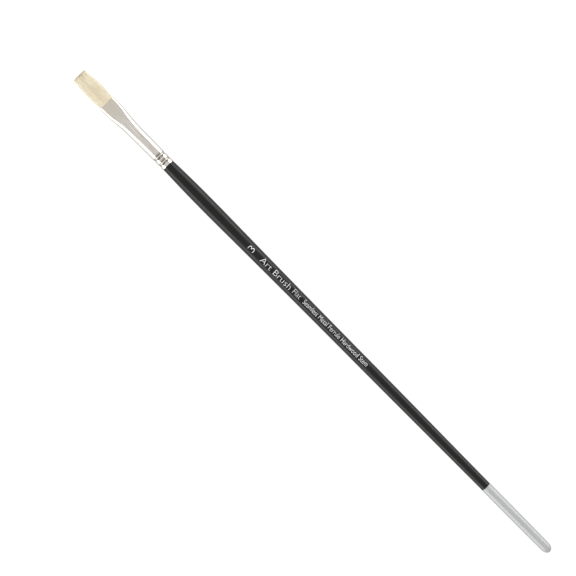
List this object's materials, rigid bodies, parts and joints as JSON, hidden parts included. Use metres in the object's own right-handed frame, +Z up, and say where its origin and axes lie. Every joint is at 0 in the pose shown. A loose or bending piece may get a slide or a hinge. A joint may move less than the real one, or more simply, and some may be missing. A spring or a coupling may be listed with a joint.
{
  "type": "paint brush",
  "caption": "Long-handled flat bristle artist's brush: lacquered wooden handle with dipped end, crimped metal ferrule and a springy hair tuft.",
  "frame": {"origin": "on the surface that the brush lies on, under the middle of its box", "axes": "+X along the brush towards the hair tips, +Z up out of the flat face, +Y across the flat face"},
  "size_m": [0.311, 0.0084, 0.0071],
  "materials": {
    "wood": "fine-grained pale hardwood, bare where the ferrule covers it",
    "lacquer": "black lacquer, semi-gloss",
    "silver_paint": "silver-grey metallic paint, satin",
    "nickel": "bright nickel plate on seamless brass tube",
    "glue": "set glue",
    "resin": "set amber resin",
    "thread": "waxed thread",
    "bristle": "natural cream hog bristle, slightly glossy hairs",
    "print_ink": "thin white printing ink"
  },
  "bodies": {
    "brush": {"wood_handle": "wood", "black_lacquer": "lacquer", "silver_dip": "silver_paint", "ferrule": "nickel", "tenon_glue": "glue", "resin_plug": "resin", "binding_thread": "thread", "bristle_root": "bristle"},
    "tuft": {"bristles_upper": "bristle", "bristles_lower": "bristle"}
  },
  "joints": [
    {"name": "tuft_bend", "type": "hinge", "parent": "brush", "child": "tuft", "pos_m": [0.13835, 0, 0.00352], "axis": [0, -1, 0], "range_deg": [-8, 40], "stiffness_Nm_per_rad": 0.012}
  ]
}
